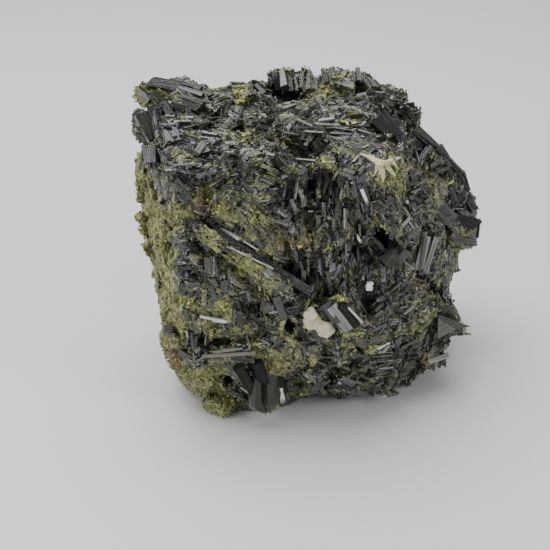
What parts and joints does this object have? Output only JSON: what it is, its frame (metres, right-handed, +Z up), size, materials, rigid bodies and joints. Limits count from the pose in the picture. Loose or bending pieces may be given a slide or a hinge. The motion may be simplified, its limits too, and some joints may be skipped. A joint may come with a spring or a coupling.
{
  "type": "epidote crystal cluster",
  "caption": "Free-standing blocky chunk of intergrown dark green epidote prisms and blades with olive crust, rough on every side, with a flat foot to rest on.",
  "frame": {"origin": "centre of the bounding box at the level of the flat foot", "axes": "+X to the right along the longest side, +Y to the back (the broad front face looks along -Y), +Z up"},
  "size_m": [0.0934, 0.069, 0.0781],
  "materials": {
    "epidote": "glossy dark green crystal with dull olive crust between"
  },
  "bodies": {
    "root": {"epidote_cluster": "epidote"}
  },
  "joints": []
}
